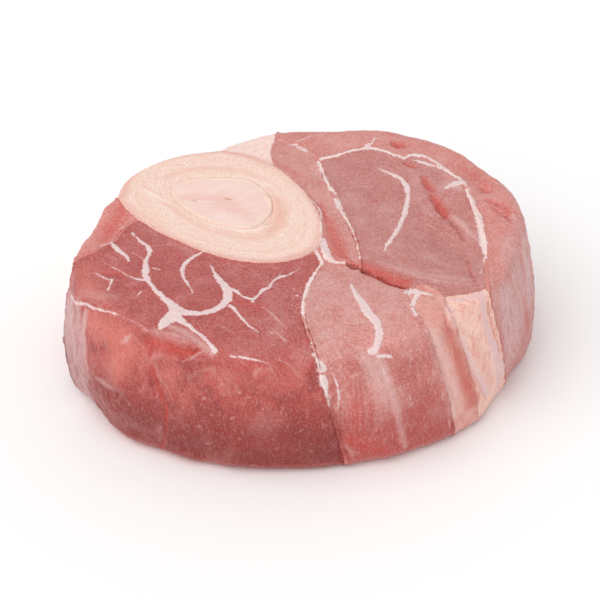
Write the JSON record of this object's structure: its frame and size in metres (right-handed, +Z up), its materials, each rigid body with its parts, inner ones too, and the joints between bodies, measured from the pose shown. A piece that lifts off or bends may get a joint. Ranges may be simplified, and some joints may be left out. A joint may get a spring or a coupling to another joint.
{
  "type": "raw veal osso buco slice",
  "caption": "Raw veal shank slice cut across the bone: a sawn marrow bone with muscles, white seams, fat and tendon round it.",
  "frame": {"origin": "under the middle of the slice, on the surface that it rests on", "axes": "+Z up through the slice, from the lower cut face to the upper; +X along the slice's longest side, with the bone towards -X; +Y away from someone who looks at the bone from across the meat"},
  "size_m": [0.115, 0.0986, 0.0353],
  "materials": {
    "bone": "sawn bone, cream, matte",
    "marrow": "pale pink marrow, moist satin",
    "fat": "firm pale fat, satin",
    "fat_band": "firm pale fat, satin",
    "tendon": "pale tendon, moist satin",
    "white_tissue": "white connective tissue, satin",
    "meat_large": "raw veal, deep pink, moist satin",
    "meat_front": "raw veal, pale pink, moist satin",
    "meat_round": "raw veal, pink, moist satin",
    "meat_strip": "raw veal, pink, moist satin",
    "meat_rim": "raw veal, warm pink, moist satin",
    "meat_left": "raw veal, bright pink, moist satin"
  },
  "bodies": {
    "root": {"bone": "bone", "marrow": "marrow", "fat_pad": "fat", "fat_band": "fat_band", "tendon": "tendon", "white_tissue": "white_tissue", "white_tissue_left": "white_tissue", "muscle_large": "meat_large", "muscle_front": "meat_front", "muscle_round": "meat_round", "muscle_strip": "meat_strip", "muscle_rim": "meat_rim", "muscle_left": "meat_left"}
  },
  "joints": []
}
